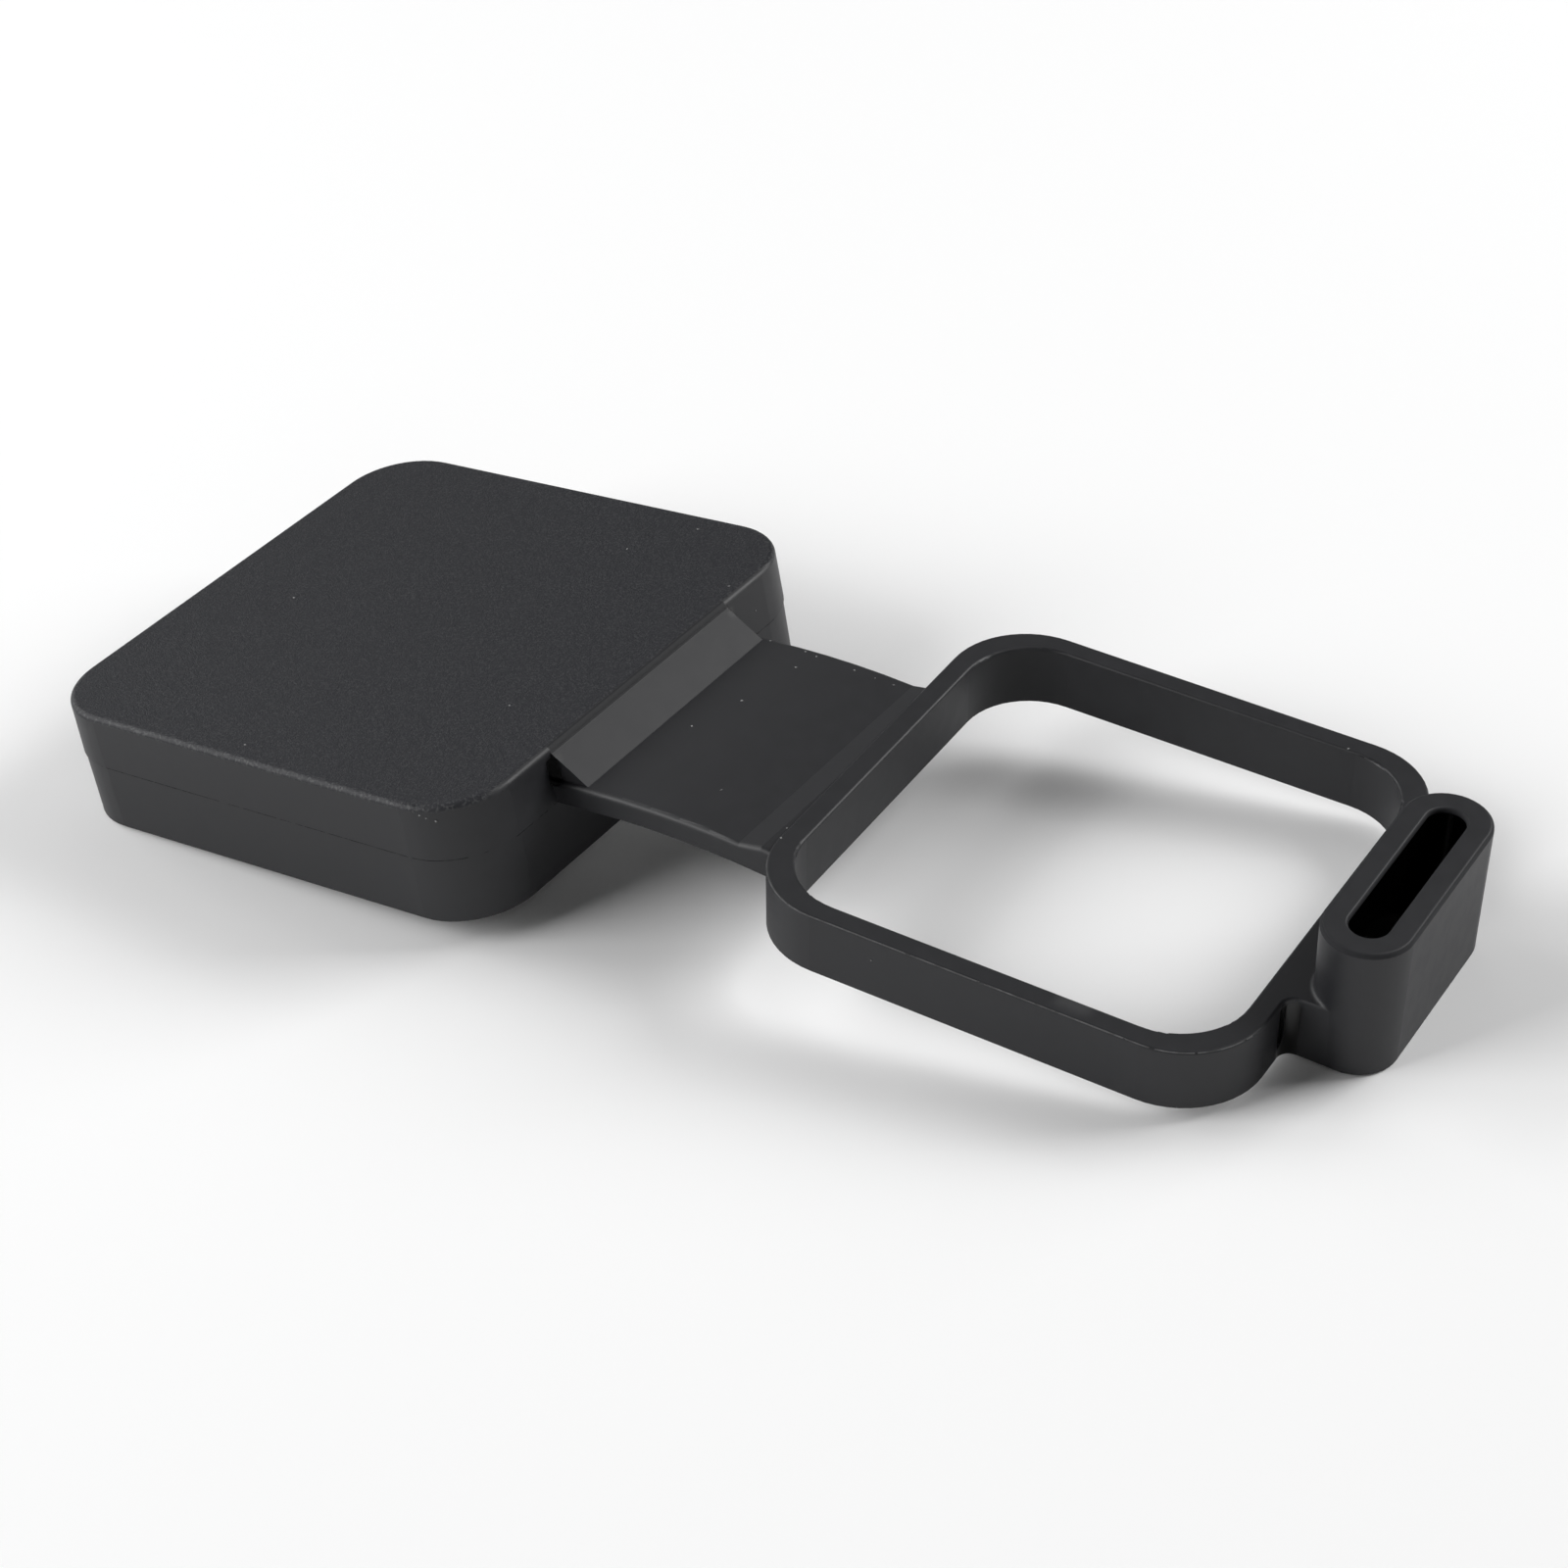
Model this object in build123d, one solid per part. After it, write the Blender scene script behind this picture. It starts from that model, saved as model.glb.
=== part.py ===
from build123d import *
import os
from math import atan2, cos, degrees, radians, sin, tan

# Every size is in millimetres and every angle in degrees
NODE = "hitch_receiver_cover"

# Square cap: a crown above the parting line and a skirt set in below it
CAP_SIZE = 79.2
CAP_CORNER = 10.7
CAP_CROWN = 8.4
CAP_SKIRT = 10.15
CAP_STEP = 0.12
CAP_DRAFT = 0.5
CAP_EDGE = 0.85
CAP_WALL = 3.2
CAP_ROOF = 3.3
CAP_INNER_EDGE = 1.2

# Strap: straight out of the crown, then one long bend down to the ring
STRAP_WIDTH = 42.0
STRAP_THICKNESS = 3.3
STRAP_STRAIGHT = 6.7
STRAP_CURVE = 27.0
STRAP_BEND = 11.2
STRAP_EDGE = 0.8
STRAP_ROOT = 1.8

# Wedge with sharp sides between the crown's top edge and the strap
WEDGE_REACH = 0.95
WEDGE_LIP = 0.2
WEDGE_RUN = 5.5
WEDGE_SET = 0.8

# Ramp from the strap up to just under the ring's top edge
RAMP_RUN = 3.4
RAMP_RISE = 0.94
RAMP_LIP = 0.3

# Square ring that stays on the receiver tube
RING_OPENING = 63.5
RING_WALL = 3.2
RING_HEIGHT = 9.05
RING_CORNER = 11.7
RING_INNER_CORNER = 10.1
RING_EDGE = 0.4

# How the ring hangs on the strap's end
RING_TILT = 9.95
RING_TURN = 3.6
RING_OFFSET = 5.1

# Slotted boss on the far side of the ring
BOSS_LENGTH = 35.6
BOSS_WIDTH = 11.95
BOSS_TOP = 19.6
BOSS_DRAFT = 0.9
BOSS_GAP = 1.25
BOSS_EDGE = 0.6
BOSS_FOOT = 0.6
SLOT_LENGTH = 28.5
SLOT_WIDTH = 5.25
SLOT_EDGE = 0.4

# Web that joins the boss to the ring
WEB_SET = 0.1
WEB_FILLET = 1.8

# Length that a cutting body runs past the faces it cuts
CUT_PAST = 5.0

# Distance within which two edges or faces count as level
SAME_LEVEL = 0.001

# Least upward part of the direction in which a top face looks
LOOKS_UP = 0.5

CAP_TOP = CAP_SKIRT + CAP_CROWN
CROWN_INSET = CAP_CROWN * tan(radians(CAP_DRAFT))
SKIRT_INSET = CAP_SKIRT * tan(radians(CAP_DRAFT))
CROWN_HALF = CAP_SIZE / 2 - CROWN_INSET
FOOT_SIZE = CAP_SIZE - 2 * (CAP_STEP + SKIRT_INSET)
RING_SIZE = RING_OPENING + 2 * RING_WALL
BOSS_X = RING_SIZE / 2 + BOSS_GAP + BOSS_WIDTH / 2
BOSS_INSET = BOSS_TOP * tan(radians(BOSS_DRAFT))
WEDGE_RISE = CAP_CROWN - WEDGE_LIP - STRAP_THICKNESS
STRAP_SEAT = RING_HEIGHT - RAMP_LIP - RAMP_RISE - STRAP_THICKNESS
STRAP_RADIUS = STRAP_CURVE / radians(STRAP_BEND)
STRAP_END_X = CAP_SIZE / 2 + STRAP_STRAIGHT + STRAP_RADIUS * sin(radians(STRAP_BEND))
STRAP_END_Z = CAP_SKIRT - STRAP_RADIUS * (1 - cos(radians(STRAP_BEND)))
RING_PLACE = (
    Pos(STRAP_END_X, 0, STRAP_END_Z)
    * Rot(0, 0, RING_TURN)
    * Rot(0, RING_TILT, 0)
    * Pos(RING_SIZE / 2, RING_OFFSET, -STRAP_SEAT)
)


def cap_body():
    """Solid cap: drafted crown and skirt that meet in a step at the parting line."""
    crown_face = Pos(0, 0, CAP_SKIRT) * RectangleRounded(CAP_SIZE, CAP_SIZE, CAP_CORNER)
    crown = extrude(crown_face, amount=CAP_CROWN, taper=CAP_DRAFT)
    crown = fillet(crown.faces().sort_by(Axis.Z)[-1].edges(), CAP_EDGE)
    skirt_size = CAP_SIZE - 2 * CAP_STEP
    skirt_face = Pos(0, 0, CAP_SKIRT) * RectangleRounded(skirt_size, skirt_size, CAP_CORNER)
    skirt = extrude(skirt_face, amount=CAP_SKIRT, dir=(0, 0, -1), taper=CAP_DRAFT)
    return crown + skirt


def cap_hollow():
    """Space inside the cap, open at the bottom and rounded under the roof."""
    size = FOOT_SIZE - 2 * CAP_WALL
    face = RectangleRounded(size, size, CAP_CORNER - CAP_WALL)
    space = extrude(face, amount=CAP_TOP - CAP_ROOF, taper=CAP_DRAFT)
    space = fillet(space.faces().sort_by(Axis.Z)[-1].edges(), CAP_INNER_EDGE)
    mouth = extrude(face, amount=CUT_PAST, dir=(0, 0, -1))
    return space + mouth


def sharp_band(outline, width):
    """Side outline drawn out to a width, half of it to each side."""
    return extrude(Plane.XZ * make_face(outline), amount=width / 2, both=True)


def rounded_band(outline):
    """Side outline drawn out to the strap's width, with the long edges of its top rounded."""
    band = sharp_band(outline, STRAP_WIDTH)
    tops = band.faces().filter_by(lambda f: f.normal_at().Z > LOOKS_UP)
    sides = [e for e in tops.edges() if abs(abs(e.center().Y) - STRAP_WIDTH / 2) < SAME_LEVEL]
    return fillet(sides, STRAP_EDGE)


def slope_outline(head, foot, rise, *back):
    """Side outline under a slope that runs from its head down through its foot, half way into the strap."""
    buried = foot + (foot - head) * (STRAP_THICKNESS / 2 / rise)
    return Polyline(head, buried, *back, head)


def strap_body():
    """Strap with the wedge on its cap end and the ramp on its ring end."""
    root_x = CAP_SIZE / 2 - STRAP_ROOT
    foot_x = CAP_SIZE / 2 + STRAP_STRAIGHT
    strap_top = CAP_SKIRT + STRAP_THICKNESS
    strap_middle = CAP_SKIRT + STRAP_THICKNESS / 2
    top_radius = STRAP_RADIUS + STRAP_THICKNESS
    along = Vector(cos(radians(STRAP_BEND)), -sin(radians(STRAP_BEND)))
    across = Vector(sin(radians(STRAP_BEND)), cos(radians(STRAP_BEND)))
    into_ring = along * RING_WALL
    end_under = Vector(STRAP_END_X, STRAP_END_Z)
    end_top = end_under + across * STRAP_THICKNESS
    end_middle = end_under + across * (STRAP_THICKNESS / 2)

    under = JernArc((foot_x, CAP_SKIRT), (1, 0), STRAP_RADIUS, -STRAP_BEND)
    upper = JernArc((foot_x, strap_top), (1, 0), top_radius, -STRAP_BEND)
    tail = Polyline(end_under, end_under + into_ring, end_top + into_ring, end_top)
    root = Polyline((foot_x, strap_top), (root_x, strap_top), (root_x, CAP_SKIRT), (foot_x, CAP_SKIRT))
    strap = rounded_band(under + tail + upper + root)

    wedge_head = Vector(CROWN_HALF - WEDGE_REACH, CAP_TOP - WEDGE_LIP)
    wedge_foot = Vector(CAP_SIZE / 2 + WEDGE_RUN, strap_top)
    wedge_back = ((root_x, strap_middle), (root_x, strap_top))
    wedge = sharp_band(slope_outline(wedge_head, wedge_foot, WEDGE_RISE, *wedge_back), STRAP_WIDTH - 2 * WEDGE_SET)

    ramp_head = end_top + across * RAMP_RISE
    ramp_foot = end_top - along * RAMP_RUN
    ramp_back = (end_middle + into_ring, ramp_head + into_ring)
    ramp = rounded_band(slope_outline(ramp_head, ramp_foot, RAMP_RISE, *ramp_back))
    return strap + wedge + ramp


def ring_plate():
    """Outside of the ring and its web as one flat plate with a rounded top edge."""
    ring = RectangleRounded(RING_SIZE, RING_SIZE, RING_CORNER)
    web_width = BOSS_LENGTH - 2 * (BOSS_INSET + WEB_SET)
    web = Pos(BOSS_X / 2, 0) * Rectangle(BOSS_X, web_width)
    face = ring + web
    at_wall = [v for v in face.vertices() if abs(v.X - RING_SIZE / 2) < SAME_LEVEL]
    corners = [v for v in at_wall if abs(abs(v.Y) - web_width / 2) < SAME_LEVEL]
    face = fillet(corners, WEB_FILLET)
    plate = extrude(face, amount=RING_HEIGHT)
    return fillet(plate.faces().sort_by(Axis.Z)[-1].edges(), RING_EDGE)


def boss_body():
    """Boss with round ends, drafted narrower towards its foot."""
    top = Pos(BOSS_X, 0, BOSS_TOP) * SlotOverall(BOSS_LENGTH, BOSS_WIDTH, rotation=90)
    boss = extrude(top, amount=BOSS_TOP, dir=(0, 0, -1), taper=BOSS_DRAFT)
    return fillet(boss.faces().sort_by(Axis.Z)[-1].edges(), BOSS_EDGE)


def through_cut(face, height):
    """Cutting body that runs past both faces of a plate of this height."""
    return extrude(Pos(0, 0, -CUT_PAST) * face, amount=height + 2 * CUT_PAST)


def rim(body, height):
    """Inner edges of the flat face that lies at one height over the ring's foot."""
    flat = [f for f in body.faces().filter_by(Axis.Z) if abs(f.center().Z - height) < SAME_LEVEL]
    return flat[0].inner_wires()[0].edges()


def slotted_ring():
    """Ring plate and boss in one body, with a small fillet where the boss stands on the plate."""
    body = ring_plate() + boss_body()
    walls = [f for f in body.faces() if f.bounding_box().max.Z > RING_HEIGHT + BOSS_EDGE]
    edges = ShapeList(e for f in walls for e in f.edges())
    foot = edges.filter_by_position(Axis.Z, RING_HEIGHT - SAME_LEVEL, RING_HEIGHT + SAME_LEVEL)
    return fillet(foot, BOSS_FOOT)


def lay_angle():
    """Angle that brings the cap's outer foot edge and the boss's foot to one level."""
    boss_foot = (RING_PLACE * Pos(BOSS_X + BOSS_WIDTH / 2 - BOSS_INSET, 0, 0)).position
    return degrees(atan2(-boss_foot.Z, boss_foot.X + FOOT_SIZE / 2))


def cover():
    """The whole moulding, laid as it rests and turned so that the ring is square to the frame."""
    opening = RectangleRounded(RING_OPENING, RING_OPENING, RING_INNER_CORNER)
    slot = Pos(BOSS_X, 0) * SlotOverall(SLOT_LENGTH, SLOT_WIDTH, rotation=90)
    cap = cap_body() + strap_body() - cap_hollow()
    body = slotted_ring() + RING_PLACE.inverse() * cap
    body = body - through_cut(opening, RING_HEIGHT) - through_cut(slot, BOSS_TOP)
    body = fillet(rim(body, BOSS_TOP), SLOT_EDGE)
    body = fillet(rim(body, RING_HEIGHT), RING_EDGE)
    body = Rot(0, 0, -RING_TURN) * Rot(0, -lay_angle(), 0) * RING_PLACE * body
    box = body.bounding_box()
    return Pos(-box.center().X, -box.center().Y, -box.min.Z) * body


os.makedirs("parts", exist_ok=True)
part = cover()
export_step(part, f"parts/{NODE}.step")
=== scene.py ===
"""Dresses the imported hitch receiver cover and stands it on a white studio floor."""
import logging
import math
from dataclasses import dataclass, field
from enum import Enum
from typing import Sequence

import bpy
from mathutils import Euler, Matrix, Vector
from mathutils.bvhtree import BVHTree


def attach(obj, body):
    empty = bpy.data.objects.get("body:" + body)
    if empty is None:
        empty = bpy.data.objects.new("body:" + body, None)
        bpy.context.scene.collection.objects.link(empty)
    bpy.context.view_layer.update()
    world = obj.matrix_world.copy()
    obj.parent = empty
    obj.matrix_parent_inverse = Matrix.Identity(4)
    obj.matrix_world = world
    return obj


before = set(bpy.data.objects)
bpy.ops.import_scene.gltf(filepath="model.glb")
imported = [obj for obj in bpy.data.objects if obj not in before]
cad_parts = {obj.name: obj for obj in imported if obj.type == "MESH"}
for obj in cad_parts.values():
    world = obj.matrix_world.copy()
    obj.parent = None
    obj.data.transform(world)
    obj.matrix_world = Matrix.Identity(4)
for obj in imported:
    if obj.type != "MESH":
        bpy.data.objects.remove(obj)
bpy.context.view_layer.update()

LOG = logging.getLogger("hitch_receiver_cover")
MM = 0.001
NODE = "hitch_receiver_cover"

Colour = tuple[float, float, float]
Point = tuple[float, float, float]
Pixel = tuple[int, int]


def opaque(colour: Colour) -> tuple[float, float, float, float]:
    """The colour with full cover, as Blender's sockets take it."""
    return (*colour, 1.0)


class Wiring:
    """Adds nodes to one tree and joins their sockets."""

    def __init__(self, tree: bpy.types.NodeTree) -> None:
        """Keeps the tree that is wired."""
        self.tree = tree

    def node(self, kind: str, **settings: object) -> bpy.types.Node:
        """Adds one node.

        Args:
            kind: Blender's name for the node's type.
            settings: attributes of the node, by name.

        Returns:
            The new node.
        """
        made = self.tree.nodes.new(kind)
        for name, value in settings.items():
            setattr(made, name, value)
        return made

    def feed(self, socket: bpy.types.NodeSocket, value: object) -> None:
        """Joins a socket to another one, or sets its constant."""
        if isinstance(value, bpy.types.NodeSocket):
            self.tree.links.new(value, socket)
        else:
            socket.default_value = value

    def math(self, kind: str, *values: object, clamp: bool = False) -> bpy.types.NodeSocket:
        """Adds a math node.

        Args:
            kind: the operation.
            values: sockets or constants that it works on.
            clamp: whether the result stays between 0 and 1.

        Returns:
            The result's socket.
        """
        made = self.node("ShaderNodeMath", operation=kind, use_clamp=clamp)
        for socket, value in zip(made.inputs, values):
            self.feed(socket, value)
        return made.outputs[0]

    def ramp(self, value: object, low: float, high: float,
             to_low: float = 0.0, to_high: float = 1.0) -> bpy.types.NodeSocket:
        """Adds a smooth step from one value to another.

        Args:
            value: the socket that is followed.
            low: where the step starts.
            high: where the step ends.
            to_low: the result before the step.
            to_high: the result after the step.

        Returns:
            The result's socket.
        """
        made = self.node("ShaderNodeMapRange", interpolation_type="SMOOTHSTEP")
        for name, given in (("Value", value), ("From Min", low), ("From Max", high),
                            ("To Min", to_low), ("To Max", to_high)):
            self.feed(made.inputs[name], given)
        return made.outputs["Result"]

    def mix(self, share: object, first: object, second: object) -> bpy.types.NodeSocket:
        """Adds a blend of two colours.

        Args:
            share: how much of the second colour shows.
            first: the first colour.
            second: the second colour.

        Returns:
            The blend's socket.
        """
        made = self.node("ShaderNodeMix", data_type="RGBA")
        self.feed(made.inputs["Factor"], share)
        self.feed(made.inputs["A"], first)
        self.feed(made.inputs["B"], second)
        return made.outputs["Result"]

    def blend(self, share: object, first: object, second: object) -> bpy.types.NodeSocket:
        """Adds a blend of two numbers.

        Args:
            share: how much of the second number shows.
            first: the first number.
            second: the second number.

        Returns:
            The blend's socket.
        """
        made = self.node("ShaderNodeMix", data_type="FLOAT")
        self.feed(made.inputs["Factor"], share)
        self.feed(made.inputs["A"], first)
        self.feed(made.inputs["B"], second)
        return made.outputs["Result"]

    def group(self, tree: bpy.types.NodeTree, **values: object) -> bpy.types.Node:
        """Places a node group and feeds its inputs by name."""
        made = self.node("ShaderNodeGroup", node_tree=tree)
        for name, value in values.items():
            self.feed(made.inputs[name], value)
        return made


class SocketKind(Enum):
    """Kinds of socket that the node trees have."""

    VALUE = "NodeSocketFloat"
    VECTOR = "NodeSocketVector"
    WHOLE = "NodeSocketInt"
    MATERIAL = "NodeSocketMaterial"


PATTERN_INPUTS = {"Vector": SocketKind.VECTOR, "Scale": SocketKind.VALUE}


class SharedGroup:
    """A shader node group that several finishes use."""

    def __init__(self, name: str, inputs: dict[str, SocketKind], outputs: Sequence[str]) -> None:
        """Makes the empty group with its named sockets.

        Args:
            name: the group's name.
            inputs: kinds of the inputs, by name.
            outputs: names of the values that it puts out.
        """
        self.tree = bpy.data.node_groups.new(name, "ShaderNodeTree")
        for socket, kind in inputs.items():
            self.tree.interface.new_socket(socket, in_out="INPUT", socket_type=kind.value)
        for socket in outputs:
            self.tree.interface.new_socket(socket, in_out="OUTPUT", socket_type=SocketKind.VALUE.value)
        self.wire = Wiring(self.tree)
        self.given = self.wire.node("NodeGroupInput").outputs
        self.result = self.wire.node("NodeGroupOutput").inputs


@dataclass(frozen=True)
class MouldGrain:
    """Blasted mould grain: a fine height with some coarser unevenness, and pale flecks."""

    name: str = "mould_grain"
    fine_detail: float = 2.0
    coarse_detail: float = 1.0
    coarse_scale: float = 0.31
    coarse_height: float = 0.6
    fleck_detail: float = 0.0
    fleck_scale: float = 0.65
    fleck_range: tuple[float, float] = (0.54, 0.68)

    def noise(self, made: SharedGroup, detail: float, scale: float) -> bpy.types.NodeSocket:
        """Adds one noise of the grain.

        Args:
            made: the group.
            detail: the noise's detail.
            scale: its fineness against the group's own.

        Returns:
            The socket of its value.
        """
        noise = made.wire.node("ShaderNodeTexNoise")
        noise.inputs["Detail"].default_value = detail
        made.wire.feed(noise.inputs["Vector"], made.given["Vector"])
        made.wire.feed(noise.inputs["Scale"], made.wire.math("MULTIPLY", made.given["Scale"], scale))
        return noise.outputs["Fac"]

    def make(self) -> bpy.types.NodeTree:
        """Builds the node group.

        Returns:
            The node group, which puts out a height and the flecks.
        """
        made = SharedGroup(self.name, PATTERN_INPUTS, ("Height", "Fleck"))
        fine = self.noise(made, self.fine_detail, 1.0)
        coarse = self.noise(made, self.coarse_detail, self.coarse_scale)
        fleck = self.noise(made, self.fleck_detail, self.fleck_scale)
        wire = made.wire
        wire.feed(made.result["Height"], wire.math("MULTIPLY_ADD", coarse, self.coarse_height, fine))
        wire.feed(made.result["Fleck"], wire.ramp(fleck, *self.fleck_range))
        return made.tree


@dataclass(frozen=True)
class MouldCloud:
    """Soft uneven patches that moulded rubber shows under flat light."""

    name: str = "mould_cloud"
    detail: float = 4.0
    roughness: float = 0.55
    span: tuple[float, float] = (0.3, 0.7)

    def make(self) -> bpy.types.NodeTree:
        """Builds the node group.

        Returns:
            The node group, which puts out the patches.
        """
        made = SharedGroup(self.name, PATTERN_INPUTS, ("Cloud",))
        noise = made.wire.node("ShaderNodeTexNoise")
        noise.inputs["Detail"].default_value = self.detail
        noise.inputs["Roughness"].default_value = self.roughness
        made.wire.feed(noise.inputs["Vector"], made.given["Vector"])
        made.wire.feed(noise.inputs["Scale"], made.given["Scale"])
        made.wire.feed(made.result["Cloud"], made.wire.ramp(noise.outputs["Fac"], *self.span))
        return made.tree


@dataclass(frozen=True)
class Placement:
    """Where a part of the moulding stands in the row's frame, in millimetres and degrees."""

    origin: Point
    turn: tuple[float, float, float]

    def euler(self) -> Euler:
        """The turn as Blender's Euler angles."""
        return Euler([math.radians(a) for a in self.turn], "XYZ")

    def matrix(self) -> Matrix:
        """Matrix from the part's own frame in millimetres to the row's in metres."""
        return Matrix.Scale(MM, 4) @ Matrix.Translation(self.origin) @ self.euler().to_matrix().to_4x4()

    def spot(self, wire: Wiring) -> bpy.types.NodeSocket:
        """Adds the place of a surface point in the part's own frame, in millimetres.

        Args:
            wire: the material's wiring.

        Returns:
            The socket of the place.
        """
        place = wire.node("ShaderNodeMapping", vector_type="TEXTURE")
        wire.feed(place.inputs["Vector"], wire.node("ShaderNodeTexCoord").outputs["Object"])
        place.inputs["Location"].default_value = Vector(self.origin) * MM
        place.inputs["Rotation"].default_value = self.euler()
        place.inputs["Scale"].default_value = (MM, MM, MM)
        return place.outputs["Vector"]


CAP_PLACE = Placement((-57.192, -0.037, 2.334), (0.0, -3.3329, -3.6))
RING_PLACE = Placement((49.429, 0.472, 5.562), (-0.2106, 6.6236, -0.0304))


@dataclass(frozen=True)
class ShadeBox:
    """A box in one part's own frame, in millimetres, in which the skin looks different."""

    place: Placement
    low: Point
    high: Point
    soft: float

    def mask(self, wire: Wiring) -> bpy.types.NodeSocket:
        """Marks the surface inside the box, with soft borders.

        Args:
            wire: the material's wiring.

        Returns:
            The mask's socket.
        """
        split = wire.node("ShaderNodeSeparateXYZ")
        wire.feed(split.inputs[0], self.place.spot(wire))
        mask: object = 1.0
        for axis, low, high in zip("XYZ", self.low, self.high):
            along = split.outputs[axis]
            mask = wire.math("MULTIPLY", wire.ramp(along, low - self.soft, low), mask)
            mask = wire.math("MULTIPLY", wire.ramp(along, high, high + self.soft, 1.0, 0.0), mask)
        return mask


class ShapeTree:
    """A geometry node tree with named inputs, and the plain mesh that it makes."""

    def __init__(self, name: str, inputs: dict[str, SocketKind]) -> None:
        """Makes the empty tree.

        Args:
            name: the tree's name.
            inputs: kinds of the inputs, by name.
        """
        self.tree = bpy.data.node_groups.new(name, "GeometryNodeTree")
        self.tree.interface.new_socket("Geometry", in_out="INPUT", socket_type="NodeSocketGeometry")
        self.tree.interface.new_socket("Geometry", in_out="OUTPUT", socket_type="NodeSocketGeometry")
        self.keys: dict[str, str] = {}
        for socket, kind in inputs.items():
            made = self.tree.interface.new_socket(socket, in_out="INPUT", socket_type=kind.value)
            self.keys[socket] = made.identifier
        self.wire = Wiring(self.tree)
        self.given = self.wire.node("NodeGroupInput").outputs
        self.result = self.wire.node("NodeGroupOutput").inputs

    def noise(self, scale: object, seed: object) -> bpy.types.NodeSocket:
        """Adds a noise that follows the place.

        Args:
            scale: how fine it is, per millimetre.
            seed: the number that picks one noise out of many.

        Returns:
            The socket of its value.
        """
        made = self.wire.node("ShaderNodeTexNoise", noise_dimensions="4D")
        self.wire.feed(made.inputs["Vector"], self.wire.node("GeometryNodeInputPosition").outputs[0])
        self.wire.feed(made.inputs["Scale"], scale)
        self.wire.feed(made.inputs["W"], seed)
        return made.outputs[0]

    def end(self, shape: bpy.types.NodeSocket) -> None:
        """Smooths the shape, realizes it, gives it its finish and puts it out."""
        smooth = self.wire.node("GeometryNodeSetShadeSmooth")
        self.wire.feed(smooth.inputs["Geometry"], shape)
        real = self.wire.node("GeometryNodeRealizeInstances")
        self.wire.feed(real.inputs["Geometry"], smooth.outputs[0])
        dressed = self.wire.node("GeometryNodeSetMaterial")
        self.wire.feed(dressed.inputs["Geometry"], real.outputs[0])
        self.wire.feed(dressed.inputs["Material"], self.given["Material"])
        self.wire.feed(self.result["Geometry"], dressed.outputs[0])

    def grow(self, name: str, start: Sequence[Point], place: Matrix,
             values: dict[str, object]) -> bpy.types.Object:
        """Runs the tree and keeps its result as a plain mesh that rides on the cover.

        Args:
            name: the piece's name.
            start: points that the tree starts from, in the tree's own millimetres.
            place: matrix from the tree's millimetres to the row's metres.
            values: the inputs, by name.

        Returns:
            The piece's object.
        """
        seed = bpy.data.meshes.new(name + "_start")
        seed.from_pydata(list(start), [], [])
        piece = bpy.data.objects.new(name, seed)
        bpy.context.scene.collection.objects.link(piece)
        grown = piece.modifiers.new(self.tree.name, "NODES")
        grown.node_group = self.tree
        for key, value in values.items():
            grown[self.keys[key]] = value
        shaped = piece.evaluated_get(bpy.context.evaluated_depsgraph_get())
        mesh = bpy.data.meshes.new_from_object(shaped)
        piece.modifiers.clear()
        mesh.transform(place)
        mesh.name = name
        piece.data = mesh
        bpy.data.meshes.remove(seed)
        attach(piece, "root")
        return piece


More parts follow.
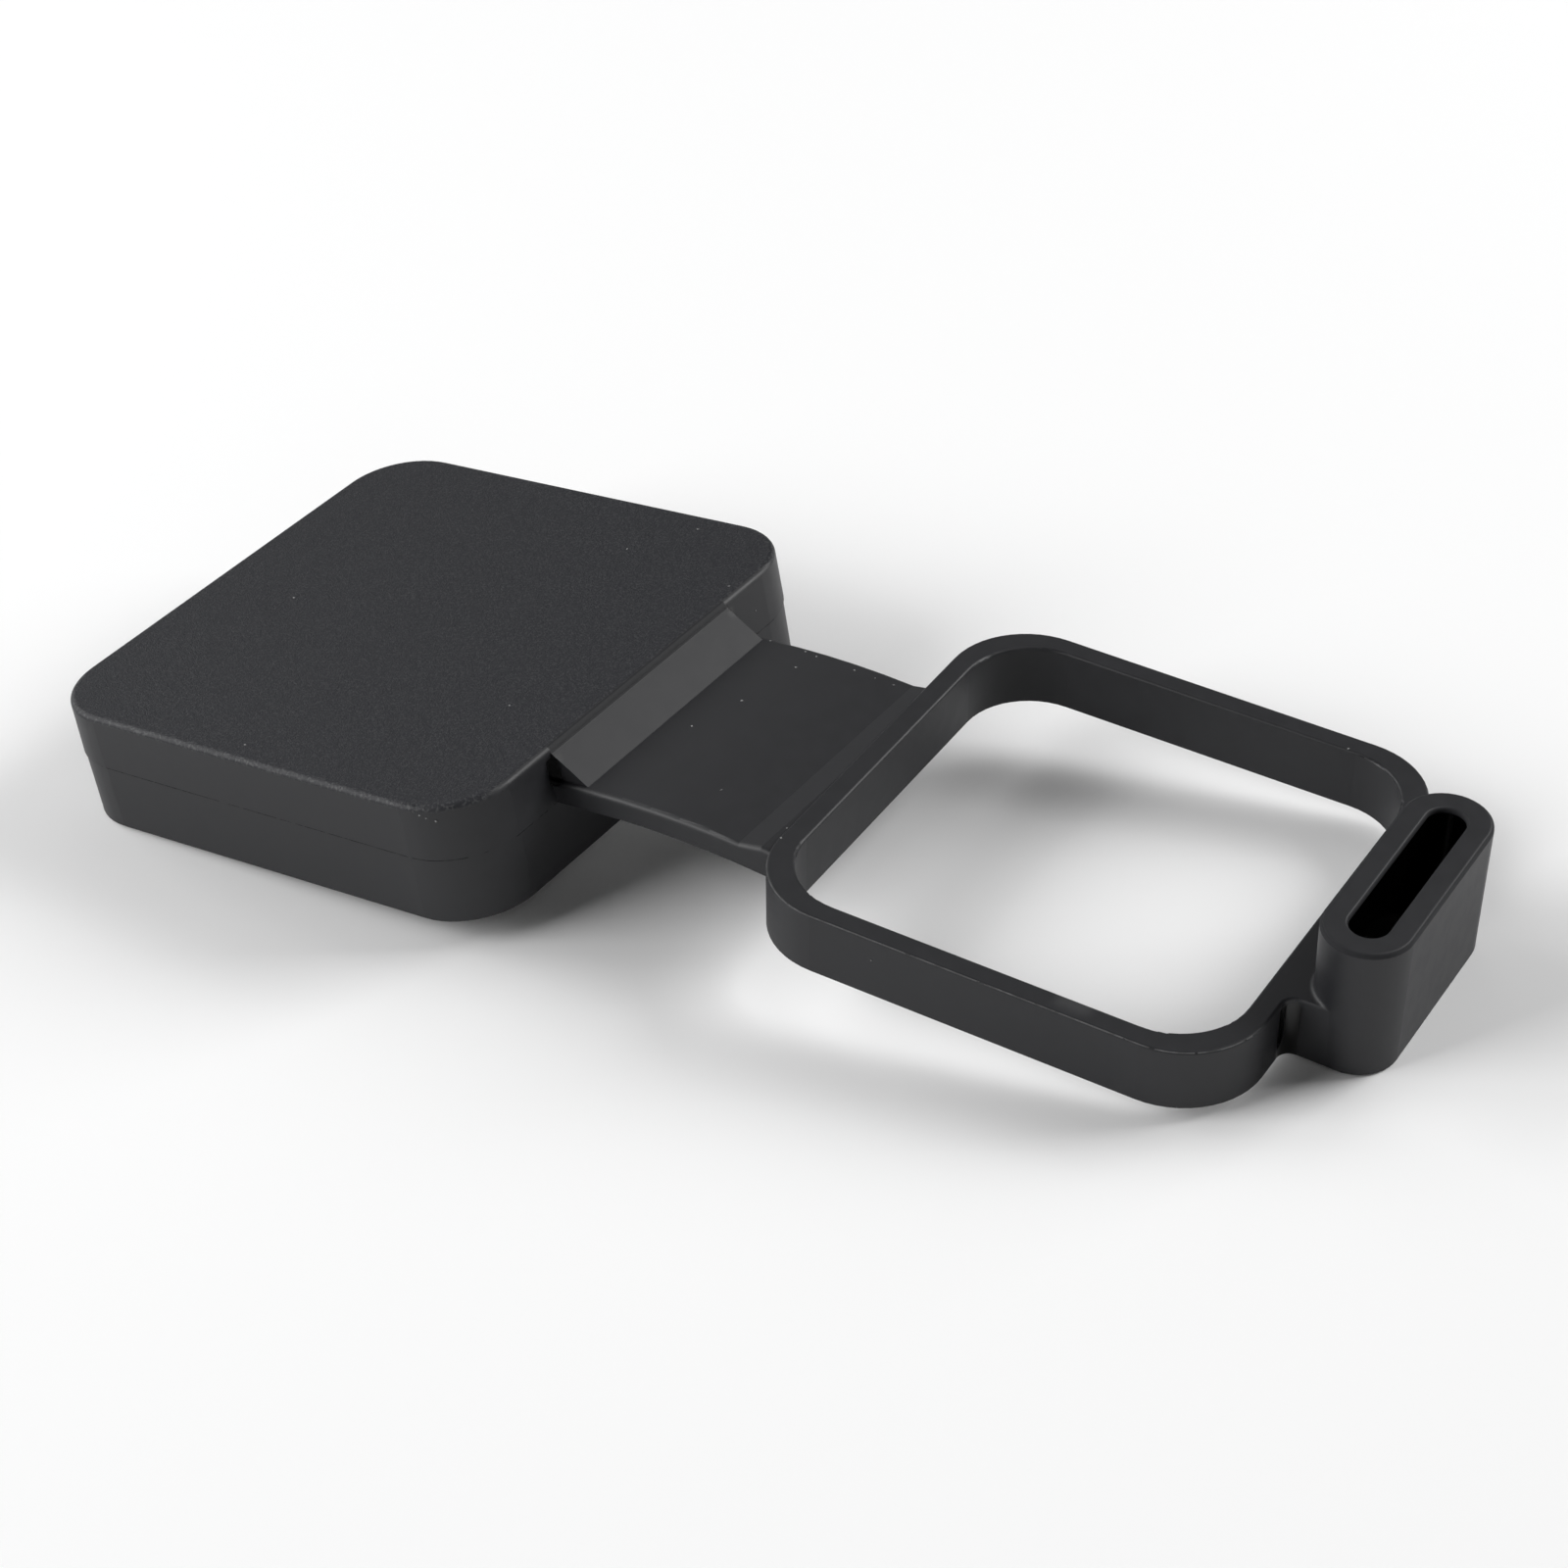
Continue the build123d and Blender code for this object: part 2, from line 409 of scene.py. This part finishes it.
@dataclass(frozen=True)
class MouldedRubber:
    """Black moulded rubber with a blasted face on the cap and smooth sides."""

    name: str = "moulded_black_rubber"
    dark: Colour = (0.0070, 0.0073, 0.0092)
    light: Colour = (0.0095, 0.0098, 0.0120)
    # Pale colour of the grain's flecks, which on the face's edge band also paint the edge's highlight, and
    # of the painted light in its boxes.
    flecks_and_painted_light: Colour = (0.110, 0.111, 0.112)
    face_tint: Colour = (0.0040, 0.0046, 0.0080)
    # Painted shade: a near-black colour, with the roughness below, for the slot, the web recess and the
    # creases beside the wedge.
    painted_shade_colour: Colour = (0.0004, 0.0004, 0.0004)
    roughness: tuple[float, float] = (0.49, 0.52)
    painted_shade_roughness: float = 0.12
    rim_roughness: float = 0.85
    face_level: tuple[float, float] = (17.5, 18.2)
    face_reach: tuple[float, float] = (38.6, 39.2)
    face_half: float = 39.53
    face_corner: float = 10.7
    edge_band: tuple[float, float] = (0.1, 1.5)
    grain_scale: float = 4.0
    grain_height: float = 1.0
    smooth_height: float = 0.05
    cloud_scale: float = 0.35
    relief: float = 0.00009
    fleck_share: float = 0.13
    edge_flecks_and_highlight_share: float = 0.20
    painted_light_share: float = 0.22
    edge_matt: float = 0.15
    # Boxes of painted shade: the ring's slot, the recess between ring and boss, and the creases beside the
    # wedge on both sides of the cap.
    painted_shade: tuple[ShadeBox, ...] = (
        ShadeBox(RING_PLACE, (39.5, -14.3, -1.0), (44.9, 14.3, 18.7), 0.3),
        ShadeBox(RING_PLACE, (34.7, -18.9, -1.0), (36.3, -16.9, 7.6), 1.2),
        ShadeBox(CAP_PLACE, (38.9, -21.0, 13.3), (40.2, -20.0, 16.4), 1.1),
        ShadeBox(CAP_PLACE, (38.9, 20.0, 13.3), (40.2, 21.0, 16.4), 1.1),
    )
    matt: tuple[ShadeBox, ...] = (
        ShadeBox(RING_PLACE, (36.0, -18.0, 19.0), (48.4, 18.0, 19.5), 0.08),
        ShadeBox(CAP_PLACE, (38.7, -20.1, 16.9), (39.7, 20.1, 18.45), 0.1),
    )
    # Boxes of painted light: a lighter strip along the cap's edge over the wedge, painting out the dark
    # line of shade there, and a painted highlight on the ring's front top face.
    painted_light: tuple[ShadeBox, ...] = (
        ShadeBox(CAP_PLACE, (39.2, -20.1, 17.4), (39.75, 20.1, 18.3), 0.15),
        ShadeBox(RING_PLACE, (12.0, -32.6, 8.7), (14.5, -31.9, 9.2), 2.2),
    )

    def together(self, wire: Wiring, boxes: Sequence[ShadeBox]) -> bpy.types.NodeSocket:
        """Joins the masks of several boxes.

        Args:
            wire: the material's wiring.
            boxes: the boxes.

        Returns:
            The joint mask's socket.
        """
        mask = boxes[0].mask(wire)
        for box in boxes[1:]:
            mask = wire.math("MAXIMUM", mask, box.mask(wire))
        return mask

    def edge_mask(self, wire: Wiring, split: bpy.types.Node) -> bpy.types.NodeSocket:
        """Marks the band just inside the outline of the cap's face.

        Args:
            wire: the material's wiring.
            split: the node that gives the place in the cap's frame, axis by axis.

        Returns:
            The mask's socket.
        """
        out = []
        for axis in ("X", "Y"):
            far = wire.math("ABSOLUTE", split.outputs[axis])
            past = wire.math("SUBTRACT", far, self.face_half - self.face_corner)
            out.append(wire.math("POWER", wire.math("MAXIMUM", past, 0.0), 2.0))
        reach = wire.math("SQRT", wire.math("ADD", *out))
        depth = wire.math("SUBTRACT", self.face_corner, reach)
        return wire.ramp(depth, *self.edge_band, 1.0, 0.0)

    def make(self, grain: bpy.types.NodeTree, cloud: bpy.types.NodeTree) -> bpy.types.Material:
        """Builds the material.

        Args:
            grain: the mould grain's node group.
            cloud: the node group of soft patches.

        Returns:
            The material.
        """
        material = bpy.data.materials.new(self.name)
        material.use_nodes = True
        wire = Wiring(material.node_tree)
        shader = material.node_tree.nodes["Principled BSDF"]
        spot = CAP_PLACE.spot(wire)
        split = wire.node("ShaderNodeSeparateXYZ")
        wire.feed(split.inputs[0], spot)
        inside = wire.ramp(split.outputs["X"], *self.face_reach, 1.0, 0.0)
        face = wire.math("MULTIPLY", wire.ramp(split.outputs["Z"], *self.face_level), inside)
        edge = wire.math("MULTIPLY", face, self.edge_mask(wire, split))
        rough_grain = wire.group(grain, Vector=spot, Scale=self.grain_scale)
        patches = wire.group(cloud, Vector=spot, Scale=self.cloud_scale).outputs["Cloud"]
        painted_shade, matt = self.together(wire, self.painted_shade), self.together(wire, self.matt)
        shade = wire.mix(patches, opaque(self.dark), opaque(self.light))
        shade = wire.mix(face, shade, opaque(self.face_tint))
        share = wire.math("MULTIPLY", face, self.fleck_share)
        # Stronger flecks on the edge band: partly wear, partly a painted highlight along the rounded top
        # edge.
        share = wire.math("MULTIPLY_ADD", edge, self.edge_flecks_and_highlight_share, share)
        flecks_and_painted_light = wire.math("MULTIPLY", share, rough_grain.outputs["Fleck"])
        # Painted light: inside its boxes the pale colour shows at its share.
        painted_light = wire.math("MULTIPLY", self.together(wire, self.painted_light), self.painted_light_share)
        flecks_and_painted_light = wire.math("MAXIMUM", flecks_and_painted_light, painted_light)
        shade = wire.mix(flecks_and_painted_light, shade, opaque(self.flecks_and_painted_light))
        # Painted shade: inside its boxes the colour goes near black.
        wire.feed(shader.inputs["Base Color"], wire.mix(painted_shade, shade, opaque(self.painted_shade_colour)))
        gloss = wire.ramp(patches, 0.0, 1.0, *self.roughness)
        dull = wire.math("MAXIMUM", matt, wire.math("MULTIPLY", edge, self.edge_matt))
        gloss = wire.blend(dull, gloss, self.rim_roughness)
        # The painted shade also lowers the roughness inside its boxes.
        wire.feed(shader.inputs["Roughness"], wire.blend(painted_shade, gloss, self.painted_shade_roughness))
        amount = wire.ramp(face, 0.0, 1.0, self.smooth_height, self.grain_height)
        bump = wire.node("ShaderNodeBump")
        bump.inputs["Distance"].default_value = self.relief
        wire.feed(bump.inputs["Height"], wire.math("MULTIPLY", rough_grain.outputs["Height"], amount))
        wire.feed(shader.inputs["Normal"], bump.outputs["Normal"])
        return material


@dataclass(frozen=True)
class SmallFinish:
    """Uneven matt finish of the small things on the rubber's skin."""

    name: str
    dark: Colour
    light: Colour
    specular: float = 0.5
    cloud_scale: float = 0.8
    roughness: tuple[float, float] = (0.6, 0.8)

    def make(self, cloud: bpy.types.NodeTree) -> bpy.types.Material:
        """Builds the material.

        Args:
            cloud: the node group of soft patches.

        Returns:
            The material.
        """
        material = bpy.data.materials.new(self.name)
        material.use_nodes = True
        wire = Wiring(material.node_tree)
        shader = material.node_tree.nodes["Principled BSDF"]
        patches = wire.group(cloud, Vector=CAP_PLACE.spot(wire), Scale=self.cloud_scale).outputs["Cloud"]
        shade = wire.mix(patches, opaque(self.dark), opaque(self.light))
        wire.feed(shader.inputs["Base Color"], shade)
        wire.feed(shader.inputs["Roughness"], wire.ramp(patches, 0.0, 1.0, *self.roughness))
        shader.inputs["Specular IOR Level"].default_value = self.specular
        return material


@dataclass
class Cover:
    """The moulding itself: the CAD node with its finish."""

    finish: MouldedRubber = field(default_factory=MouldedRubber)

    def dress(self, grain: bpy.types.NodeTree, cloud: bpy.types.NodeTree) -> bpy.types.Object:
        """Gives the CAD node its rubber.

        Args:
            grain: the mould grain's node group.
            cloud: the node group of soft patches.

        Returns:
            The CAD node's object.
        """
        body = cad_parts[NODE]
        material = self.finish.make(grain, cloud)
        for holder in body.material_slots:
            holder.material = material
        return body


@dataclass(frozen=True)
class EdgePath:
    """One rounded square along which a line of painted shade or of flash runs, in its part's own
    millimetres.
    """

    name: str
    place: Placement
    half: float
    corner: float
    level: float
    thickness: float
    wobble: float
    gap: float
    gap_scale: float
    front_of: float
    seed: float
    finish: SmallFinish


@dataclass
class MouldLines:
    """Lines along the mould's partings: a near-black tube of painted shade under the cap's parting step,
    and the thin flash on the ring, painted pale as that edge's highlight.
    """

    step: float = 0.35
    sides: int = 6
    corner_steps: int = 24
    wobble_scale: float = 1.3
    gap_seed: float = 5.0
    paths: tuple[EdgePath, ...] = (
        # Painted shade: a near-black, barely glossy tube where shade falls under the cap's parting step.
        EdgePath(
            "parting_shade_line", CAP_PLACE, half=39.44, corner=10.7, level=10.07, thickness=0.105,
            wobble=0.8, gap=0.43, gap_scale=0.45, front_of=60.0, seed=2.0,
            finish=SmallFinish("crease_shade", (0.0006, 0.0006, 0.0006), (0.002, 0.002, 0.002), 0.1),
        ),
        # Flash along the ring's front top edge, painted pale as the highlight on that edge; it is kept on
        # the front side only.
        EdgePath(
            "ring_flash_and_highlight", RING_PLACE, half=34.83, corner=11.6, level=8.93, thickness=0.085,
            wobble=0.5, gap=0.38, gap_scale=0.5, front_of=-26.5, seed=7.0,
            finish=SmallFinish("flash_and_painted_highlight", (0.035, 0.035, 0.036), (0.10, 0.10, 0.102)),
        ),
    )

    def tree(self) -> ShapeTree:
        """Builds the tree that runs a thin broken line round a rounded square.

        Returns:
            The tree.
        """
        names = ("Half", "Corner", "Level", "Thickness", "Wobble",
                 "Gap", "Gap Scale", "Front Of", "Seed", "Step")
        kinds = {name: SocketKind.VALUE for name in names}
        made = ShapeTree("edge_line", {**kinds, "Sides": SocketKind.WHOLE, "Material": SocketKind.MATERIAL})
        wire, given = made.wire, made.given
        square = wire.node("GeometryNodeCurvePrimitiveQuadrilateral")
        for side in ("Width", "Height"):
            wire.feed(square.inputs[side], wire.math("MULTIPLY", given["Half"], 2.0))
        rounded = wire.node("GeometryNodeFilletCurve", mode="POLY")
        wire.feed(rounded.inputs["Curve"], square.outputs["Curve"])
        rounded.inputs["Count"].default_value = self.corner_steps
        wire.feed(rounded.inputs["Radius"], given["Corner"])
        path = wire.node("GeometryNodeResampleCurve", mode="LENGTH")
        wire.feed(path.inputs["Curve"], rounded.outputs["Curve"])
        wire.feed(path.inputs["Length"], given["Step"])
        swing = wire.math("MULTIPLY_ADD", made.noise(self.wobble_scale, given["Seed"]), 2.0, -1.0)
        share = wire.math("MULTIPLY_ADD", swing, given["Wobble"], 1.0)
        profile = wire.node("GeometryNodeCurvePrimitiveCircle")
        wire.feed(profile.inputs["Resolution"], given["Sides"])
        profile.inputs["Radius"].default_value = 1.0
        tube = wire.node("GeometryNodeCurveToMesh")
        wire.feed(tube.inputs["Curve"], path.outputs["Curve"])
        wire.feed(tube.inputs["Profile Curve"], profile.outputs["Curve"])
        wire.feed(tube.inputs["Scale"], wire.math("MULTIPLY", share, given["Thickness"]))
        gap_seed = wire.math("ADD", given["Seed"], self.gap_seed)
        broken = wire.math("LESS_THAN", made.noise(given["Gap Scale"], gap_seed), given["Gap"])
        split = wire.node("ShaderNodeSeparateXYZ")
        wire.feed(split.inputs[0], wire.node("GeometryNodeInputPosition").outputs[0])
        behind = wire.math("GREATER_THAN", split.outputs["Y"], given["Front Of"])
        kept = wire.node("GeometryNodeDeleteGeometry", domain="FACE")
        wire.feed(kept.inputs["Geometry"], tube.outputs["Mesh"])
        wire.feed(kept.inputs["Selection"], wire.math("MAXIMUM", broken, behind))
        lift = wire.node("ShaderNodeCombineXYZ")
        wire.feed(lift.inputs["Z"], given["Level"])
        raised = wire.node("GeometryNodeTransform")
        wire.feed(raised.inputs["Geometry"], kept.outputs["Geometry"])
        wire.feed(raised.inputs["Translation"], lift.outputs[0])
        made.end(raised.outputs["Geometry"])
        return made

    def build(self, cloud: bpy.types.NodeTree) -> list[bpy.types.Object]:
        """Runs a line along each path.

        Args:
            cloud: the node group of soft patches.

        Returns:
            The lines' objects.
        """
        tree = self.tree()
        made = []
        for path in self.paths:
            values = {"Half": path.half, "Corner": path.corner, "Level": path.level,
                      "Thickness": path.thickness, "Wobble": path.wobble, "Gap": path.gap,
                      "Gap Scale": path.gap_scale, "Front Of": path.front_of, "Seed": path.seed,
                      "Step": self.step, "Sides": self.sides, "Material": path.finish.make(cloud)}
            made.append(tree.grow(path.name, [(0.0, 0.0, 0.0)], path.place.matrix(), values))
        return made


@dataclass(frozen=True)
class PhotoCamera:
    """The camera that took the photograph, in millimetres and degrees."""

    lens: float = 84.12
    sensor: float = 36.0
    clip_start: float = 0.01
    photo_width: int = 1600
    azimuth: float = 35.7714
    elevation: float = 34.4325
    roll: float = -7.3098
    distance: float = 504.141
    target: Point = (1.0206, 0.3133, 8.0629)

    def aim(self) -> Vector:
        """The point that the camera and the lamps face, in metres."""
        return Vector(self.target) * MM

    def axes(self) -> tuple[Vector, Vector, Vector]:
        """Directions to the picture's right, to its top and back to the camera."""
        around, up, roll = (math.radians(a) for a in (self.azimuth, self.elevation, self.roll))
        back = Vector((math.sin(around) * math.cos(up), -math.cos(around) * math.cos(up), math.sin(up)))
        level = Vector((math.cos(around), math.sin(around), 0.0))
        steep = back.cross(level)
        right = level * math.cos(roll) + steep * math.sin(roll)
        top = steep * math.cos(roll) - level * math.sin(roll)
        return right, top, back

    def eye(self) -> Vector:
        """Where the camera stands, in metres."""
        return self.aim() + self.axes()[2] * self.distance * MM

    def sight(self, pixel: Pixel) -> Vector:
        """Direction in which the camera sees one pixel of the photograph.

        Args:
            pixel: the column from the left and the row from the top.

        Returns:
            The direction, of length 1.
        """
        right, top, back = self.axes()
        reach = self.lens / self.sensor * self.photo_width
        across, down = ((place - self.photo_width / 2) / reach for place in pixel)
        return (right * across - top * down - back).normalized()

    def build(self) -> bpy.types.Object:
        """Stands the camera where the photograph was taken from.

        Returns:
            The camera's object.
        """
        lens = bpy.data.cameras.new("photo_camera")
        lens.lens = self.lens
        lens.sensor_width = self.sensor
        lens.clip_start = self.clip_start
        made = bpy.data.objects.new("photo_camera", lens)
        turn = Matrix(self.axes()).transposed().to_4x4()
        made.matrix_world = Matrix.Translation(self.eye()) @ turn
        bpy.context.scene.collection.objects.link(made)
        bpy.context.scene.camera = made
        return made


@dataclass
class Dust:
    """Pale specks of dust and lint on the skin, where the photograph shows them."""

    size: tuple[float, float] = (0.10, 0.22)
    flatness: float = 0.55
    subdivisions: int = 2
    most_turn: Point = (0.3, 0.3, 6.2)
    seed: int = 4
    finish: SmallFinish = SmallFinish("pale_dust", (0.18, 0.18, 0.18), (0.34, 0.34, 0.34))
    cap_specks: tuple[Pixel, ...] = (
        (712, 540), (744, 598), (300, 610), (520, 720), (250, 760), (640, 560),
    )
    strap_specks: tuple[Pixel, ...] = (
        (771, 623), (706, 741), (757, 715), (812, 681), (822, 665), (833, 670),
        (872, 684), (893, 692), (912, 699), (736, 806), (803, 845), (797, 855),
    )
    ring_specks: tuple[Pixel, ...] = ((1376, 764), (889, 980))
    cap_corner_specks: tuple[Pixel, ...] = ((435, 835), (428, 832), (445, 838))
    strap_edge_specks: tuple[Pixel, ...] = ((786, 654),)

    def spots(self, camera: PhotoCamera, body: bpy.types.Object) -> list[Point]:
        """Finds the places on the cover that the specks' pixels in the photograph show.

        Args:
            camera: the photograph's camera.
            body: the CAD node's object.

        Returns:
            The places, in millimetres.
        """
        pixels = (*self.cap_specks, *self.strap_specks, *self.ring_specks,
                  *self.cap_corner_specks, *self.strap_edge_specks)
        skin = BVHTree.FromObject(body, bpy.context.evaluated_depsgraph_get())
        hits = [skin.ray_cast(camera.eye(), camera.sight(pixel))[0] for pixel in pixels]
        return [tuple(hit / MM) for hit in hits if hit is not None]

    def tree(self) -> ShapeTree:
        """Builds the tree that lays a small uneven flake on each spot.

        Returns:
            The tree.
        """
        kinds = {"Small": SocketKind.VALUE, "Large": SocketKind.VALUE, "Flatness": SocketKind.VALUE}
        kinds.update({"Seed": SocketKind.WHOLE, "Material": SocketKind.MATERIAL})
        made = ShapeTree("dust_flakes", kinds)
        wire, given = made.wire, made.given
        flake = wire.node("GeometryNodeMeshIcoSphere")
        flake.inputs["Radius"].default_value = 1.0
        flake.inputs["Subdivisions"].default_value = self.subdivisions
        sizes = []
        for shift in (0, 1):
            draw = wire.node("FunctionNodeRandomValue", data_type="FLOAT")
            wire.feed(draw.inputs[2], given["Small"])
            wire.feed(draw.inputs[3], given["Large"])
            wire.feed(draw.inputs["Seed"], wire.math("ADD", given["Seed"], shift))
            sizes.append(draw.outputs[1])
        shape = wire.node("ShaderNodeCombineXYZ")
        wire.feed(shape.inputs["X"], sizes[0])
        wire.feed(shape.inputs["Y"], sizes[1])
        wire.feed(shape.inputs["Z"], wire.math("MULTIPLY", sizes[0], given["Flatness"]))
        turn = wire.node("FunctionNodeRandomValue", data_type="FLOAT_VECTOR")
        turn.inputs[1].default_value = self.most_turn
        wire.feed(turn.inputs["Seed"], wire.math("ADD", given["Seed"], 2))
        laid = wire.node("GeometryNodeInstanceOnPoints")
        wire.feed(laid.inputs["Points"], given["Geometry"])
        wire.feed(laid.inputs["Instance"], flake.outputs["Mesh"])
        wire.feed(laid.inputs["Rotation"], turn.outputs[0])
        wire.feed(laid.inputs["Scale"], shape.outputs[0])
        made.end(laid.outputs["Instances"])
        return made

    def build(self, cloud: bpy.types.NodeTree, camera: PhotoCamera,
              body: bpy.types.Object) -> bpy.types.Object:
        """Lays the specks.

        Args:
            cloud: the node group of soft patches.
            camera: the photograph's camera.
            body: the CAD node's object.

        Returns:
            The specks' object.
        """
        values = {"Small": self.size[0], "Large": self.size[1], "Flatness": self.flatness,
                  "Seed": self.seed, "Material": self.finish.make(cloud)}
        spots = self.spots(camera, body)
        LOG.info("%d specks lie on the cover", len(spots))
        return self.tree().grow("dust_specks", spots, Matrix.Scale(MM, 4), values)


@dataclass(frozen=True)
class Softbox:
    """One soft square lamp that faces the object."""

    name: str
    azimuth: float
    elevation: float
    power: float
    distance: float = 1.5
    size: float = 0.9

    def build(self, target: Vector) -> bpy.types.Object:
        """Hangs the lamp and turns it to the object.

        Args:
            target: the point that it faces.

        Returns:
            The lamp's object.
        """
        around, up = math.radians(self.azimuth), math.radians(self.elevation)
        way = Vector((math.sin(around) * math.cos(up), -math.cos(around) * math.cos(up), math.sin(up)))
        lamp = bpy.data.lights.new(self.name, "AREA")
        lamp.shape = "SQUARE"
        lamp.size = self.size
        lamp.energy = self.power
        made = bpy.data.objects.new(self.name, lamp)
        made.location = target + way * self.distance
        made.rotation_euler = way.to_track_quat("Z", "Y").to_euler()
        bpy.context.scene.collection.objects.link(made)
        return made


@dataclass
class Studio:
    """White floor, soft lamps and the photograph's camera."""

    floor_half: float = 6.0
    floor_colour: Colour = (0.93, 0.93, 0.93)
    world_colour: Colour = (0.004, 0.004, 0.004)
    camera: PhotoCamera = PhotoCamera()
    lamps: tuple[Softbox, ...] = (
        Softbox("back_right_softbox", 135.0, 30.0, 19.4),
        Softbox("front_left_softbox", 315.0, 30.0, 16.8),
        Softbox("left_softbox", 270.0, 30.0, 8.4),
        Softbox("front_right_softbox", 45.0, 30.0, 2.3),
        Softbox("back_softbox", 180.0, 60.0, 1.8),
        Softbox("back_left_softbox", 225.0, 30.0, 1.5),
    )

    def floor(self) -> bpy.types.Object:
        """Lays the white floor, which keeps the object's shadow.

        Returns:
            The floor's object.
        """
        half = self.floor_half
        mesh = bpy.data.meshes.new("floor")
        corners = [(-half, -half, 0), (half, -half, 0), (half, half, 0), (-half, half, 0)]
        mesh.from_pydata(corners, [], [range(len(corners))])
        made = bpy.data.objects.new("floor", mesh)
        bpy.context.scene.collection.objects.link(made)
        material = bpy.data.materials.new("white_floor")
        material.use_nodes = True
        material.node_tree.nodes.clear()
        wire = Wiring(material.node_tree)
        paper = wire.node("ShaderNodeBsdfDiffuse")
        paper.inputs["Color"].default_value = opaque(self.floor_colour)
        wire.feed(wire.node("ShaderNodeOutputMaterial").inputs["Surface"], paper.outputs[0])
        mesh.materials.append(material)
        return made

    def light(self) -> None:
        """Hangs the lamps and sets the room's even light."""
        world = bpy.data.worlds.new("studio_room")
        world.use_nodes = True
        even = world.node_tree.nodes["Background"]
        even.inputs["Color"].default_value = opaque(self.world_colour)
        bpy.context.scene.world = world
        for lamp in self.lamps:
            lamp.build(self.camera.aim())

    def build(self) -> None:
        """Sets up the whole studio."""
        bpy.context.scene.view_settings.view_transform = "Standard"
        self.camera.build()
        self.floor()
        self.light()


def main() -> None:
    """Builds the studio and dresses the cover."""
    logging.basicConfig(level=logging.INFO, format="%(name)s: %(message)s")
    studio = Studio()
    studio.build()
    grain, cloud = MouldGrain().make(), MouldCloud().make()
    body = Cover().dress(grain, cloud)
    LOG.info("dressed %s", body.name)
    for piece in (*MouldLines().build(cloud), Dust().build(cloud, studio.camera, body)):
        LOG.info("built %s", piece.name)


if __name__ == "__main__":
    main()
